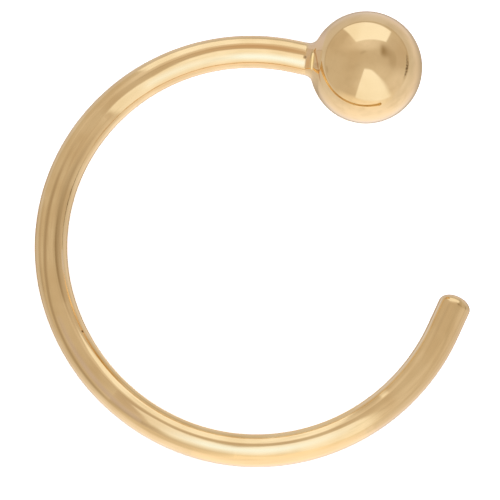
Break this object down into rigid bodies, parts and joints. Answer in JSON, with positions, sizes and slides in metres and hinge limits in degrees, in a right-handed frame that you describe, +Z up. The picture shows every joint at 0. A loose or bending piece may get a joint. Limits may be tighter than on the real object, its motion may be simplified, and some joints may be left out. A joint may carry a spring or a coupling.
{
  "type": "ball hoop earring",
  "caption": "Open hoop earring of polished round wire, with a plain domed tip that passes through an ear piercing and a soldered ball that stops the other end.",
  "frame": {"origin": "on the floor, under the middle of the earring's bounding box as it lies by itself", "axes": "+Z up from the floor, +Y towards the end with the ball, +X towards the open mouth between the ball and the domed tip"},
  "size_m": [0.0134, 0.0142, 0.0035],
  "materials": {
    "gold": "polished yellow gold with fine polishing marks along the wire"
  },
  "bodies": {
    "root": {"ball_hoop": "gold"}
  },
  "joints": []
}
